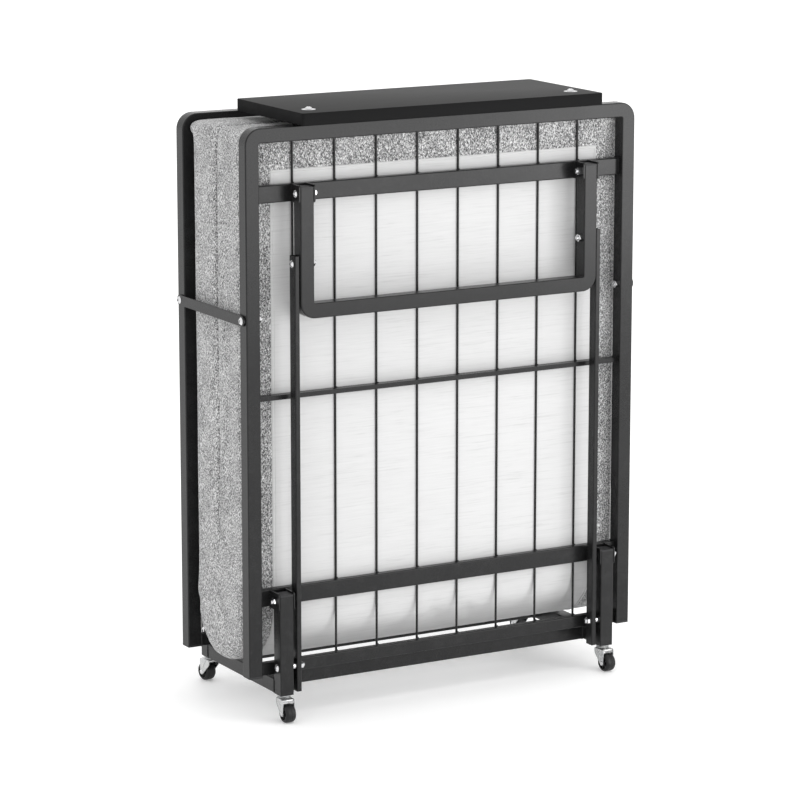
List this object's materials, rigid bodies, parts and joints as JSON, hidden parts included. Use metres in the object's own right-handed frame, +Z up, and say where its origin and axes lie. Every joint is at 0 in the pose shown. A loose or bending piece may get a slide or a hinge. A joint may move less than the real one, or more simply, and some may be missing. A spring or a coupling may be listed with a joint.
{
  "type": "folding cot",
  "caption": "Folded upright rollaway bed: two steel sections with folding legs around a doubled mattress, on a rolling base with a black top board.",
  "frame": {"origin": "centre of the footprint, at floor level under the caster wheels", "axes": "+Z up, +X across the bed to the right, +Y from the front section (the one that carries the board) to the rear section"},
  "size_m": [0.7776, 0.3354, 1.0422],
  "materials": {
    "black_steel": "satin black powder coat on square steel tube and flat bar",
    "chrome": "bright chrome-plated bolts, nuts, washers and spacers",
    "zinc": "bright zinc-plated pressed steel",
    "wheel_plastic": "satin black nylon wheel",
    "black_plastic": "matte black polyethylene plug",
    "grey_fabric": "grey melange woven mattress cover, with a white slub panel on the underside",
    "board_black": "matte black laminated board with a faint grain"
  },
  "bodies": {
    "base": {"base_post_front_left": "black_steel", "base_post_front_right": "black_steel", "base_post_rear_left": "black_steel", "base_post_rear_right": "black_steel", "base_tube_left": "black_steel", "base_tube_right": "black_steel", "base_crossbar_front": "black_steel", "base_crossbar_rear": "black_steel", "post_caps": "black_plastic", "caster_stems": "zinc", "fold_pivot_bolts": "chrome", "link_pivot_bolts": "chrome", "mattress_fold": "grey_fabric"},
    "front_section": {"front_frame": "black_steel", "front_upper_crossbar": "black_steel", "front_lower_crossbar": "black_steel", "front_middle_bar": "black_steel", "front_end_bar": "black_steel", "front_wires": "black_steel", "front_brackets": "black_steel", "front_leg_hinge_bolts": "chrome", "front_rail_plugs": "black_plastic", "front_latch_bolts": "chrome", "mattress_front": "grey_fabric", "board": "board_black", "board_screws": "chrome"},
    "rear_section": {"rear_frame": "black_steel", "rear_upper_crossbar": "black_steel", "rear_lower_crossbar": "black_steel", "rear_middle_bar": "black_steel", "rear_end_bar": "black_steel", "rear_wires": "black_steel", "rear_brackets": "black_steel", "rear_leg_hinge_bolts": "chrome", "rear_rail_plugs": "black_plastic", "mattress_rear": "grey_fabric"},
    "front_leg": {"front_leg": "black_steel", "front_leg_caps": "black_plastic", "front_link_bolts": "chrome"},
    "front_links": {"front_links": "black_steel"},
    "rear_leg": {"rear_leg": "black_steel", "rear_leg_caps": "black_plastic", "rear_link_bolts": "chrome"},
    "rear_links": {"rear_links": "black_steel"},
    "latch_left": {"latch_left": "black_steel", "latch_left_screw": "chrome"},
    "latch_right": {"latch_right": "black_steel", "latch_right_screw": "chrome"},
    "caster_front_left": {"caster_fork_front_left": "zinc", "caster_axle_front_left": "chrome"},
    "wheel_front_left": {"caster_wheel_front_left": "wheel_plastic"},
    "caster_front_right": {"caster_fork_front_right": "zinc", "caster_axle_front_right": "chrome"},
    "wheel_front_right": {"caster_wheel_front_right": "wheel_plastic"},
    "caster_rear_left": {"caster_fork_rear_left": "zinc", "caster_axle_rear_left": "chrome"},
    "wheel_rear_left": {"caster_wheel_rear_left": "wheel_plastic"},
    "caster_rear_right": {"caster_fork_rear_right": "zinc", "caster_axle_rear_right": "chrome"},
    "wheel_rear_right": {"caster_wheel_rear_right": "wheel_plastic"}
  },
  "joints": [
    {"name": "front_fold", "type": "hinge", "parent": "base", "child": "front_section", "pos_m": [0, -0.1387, 0.2108], "axis": [1, 0, 0], "range_deg": [0, 90], "deforming": ["mattress_fold"]},
    {"name": "front_link_swing", "type": "hinge", "parent": "base", "child": "front_links", "pos_m": [0, -0.1387, 0.0938], "axis": [1, 0, 0], "range_deg": [0, 90]},
    {"name": "front_leg_hinge", "type": "hinge", "parent": "front_section", "child": "front_leg", "pos_m": [0, -0.1387, 0.9013], "axis": [1, 0, 0], "range_deg": [-90, 0]},
    {"name": "rear_fold", "type": "hinge", "parent": "base", "child": "rear_section", "pos_m": [0, 0.1387, 0.2108], "axis": [-1, 0, 0], "range_deg": [0, 90]},
    {"name": "rear_link_swing", "type": "hinge", "parent": "base", "child": "rear_links", "pos_m": [0, 0.1387, 0.0938], "axis": [-1, 0, 0], "range_deg": [0, 90]},
    {"name": "rear_leg_hinge", "type": "hinge", "parent": "rear_section", "child": "rear_leg", "pos_m": [0, 0.1387, 0.9013], "axis": [-1, 0, 0], "range_deg": [-90, 0]},
    {"name": "latch_left_turn", "type": "hinge", "parent": "front_section", "child": "latch_left", "pos_m": [-0.383, -0.1163, 0.692], "axis": [1, 0, 0], "range_deg": [0, 270]},
    {"name": "latch_right_turn", "type": "hinge", "parent": "front_section", "child": "latch_right", "pos_m": [0.383, -0.1163, 0.692], "axis": [1, 0, 0], "range_deg": [0, 270]},
    {"name": "swivel_front_left", "type": "hinge", "parent": "base", "child": "caster_front_left", "pos_m": [-0.3207, -0.1387, 0.0438], "axis": [0, 0, 1], "continuous": true},
    {"name": "spin_front_left", "type": "hinge", "parent": "caster_front_left", "child": "wheel_front_left", "pos_m": [-0.3207, -0.1512, 0.016], "axis": [1, 0, 0], "continuous": true},
    {"name": "swivel_front_right", "type": "hinge", "parent": "base", "child": "caster_front_right", "pos_m": [0.3207, -0.1387, 0.0438], "axis": [0, 0, 1], "continuous": true},
    {"name": "spin_front_right", "type": "hinge", "parent": "caster_front_right", "child": "wheel_front_right", "pos_m": [0.32179, -0.15115, 0.016], "axis": [0.9962, 0.0872, 0], "continuous": true},
    {"name": "swivel_rear_left", "type": "hinge", "parent": "base", "child": "caster_rear_left", "pos_m": [-0.3207, 0.1387, 0.0438], "axis": [0, 0, 1], "continuous": true},
    {"name": "spin_rear_left", "type": "hinge", "parent": "caster_rear_left", "child": "wheel_rear_left", "pos_m": [-0.32287, 0.15101, 0.016], "axis": [-0.9848, -0.1736, 0], "continuous": true},
    {"name": "swivel_rear_right", "type": "hinge", "parent": "base", "child": "caster_rear_right", "pos_m": [0.3207, 0.1387, 0.0438], "axis": [0, 0, 1], "continuous": true},
    {"name": "spin_rear_right", "type": "hinge", "parent": "caster_rear_right", "child": "wheel_rear_right", "pos_m": [0.3207, 0.1512, 0.016], "axis": [-1, 0, 0], "continuous": true}
  ],
  "couplings": [
    {"joint": "front_link_swing", "follows": "front_fold", "ratio": 1},
    {"joint": "front_leg_hinge", "follows": "front_fold", "ratio": -1},
    {"joint": "rear_link_swing", "follows": "rear_fold", "ratio": 1},
    {"joint": "rear_leg_hinge", "follows": "rear_fold", "ratio": -1}
  ]
}
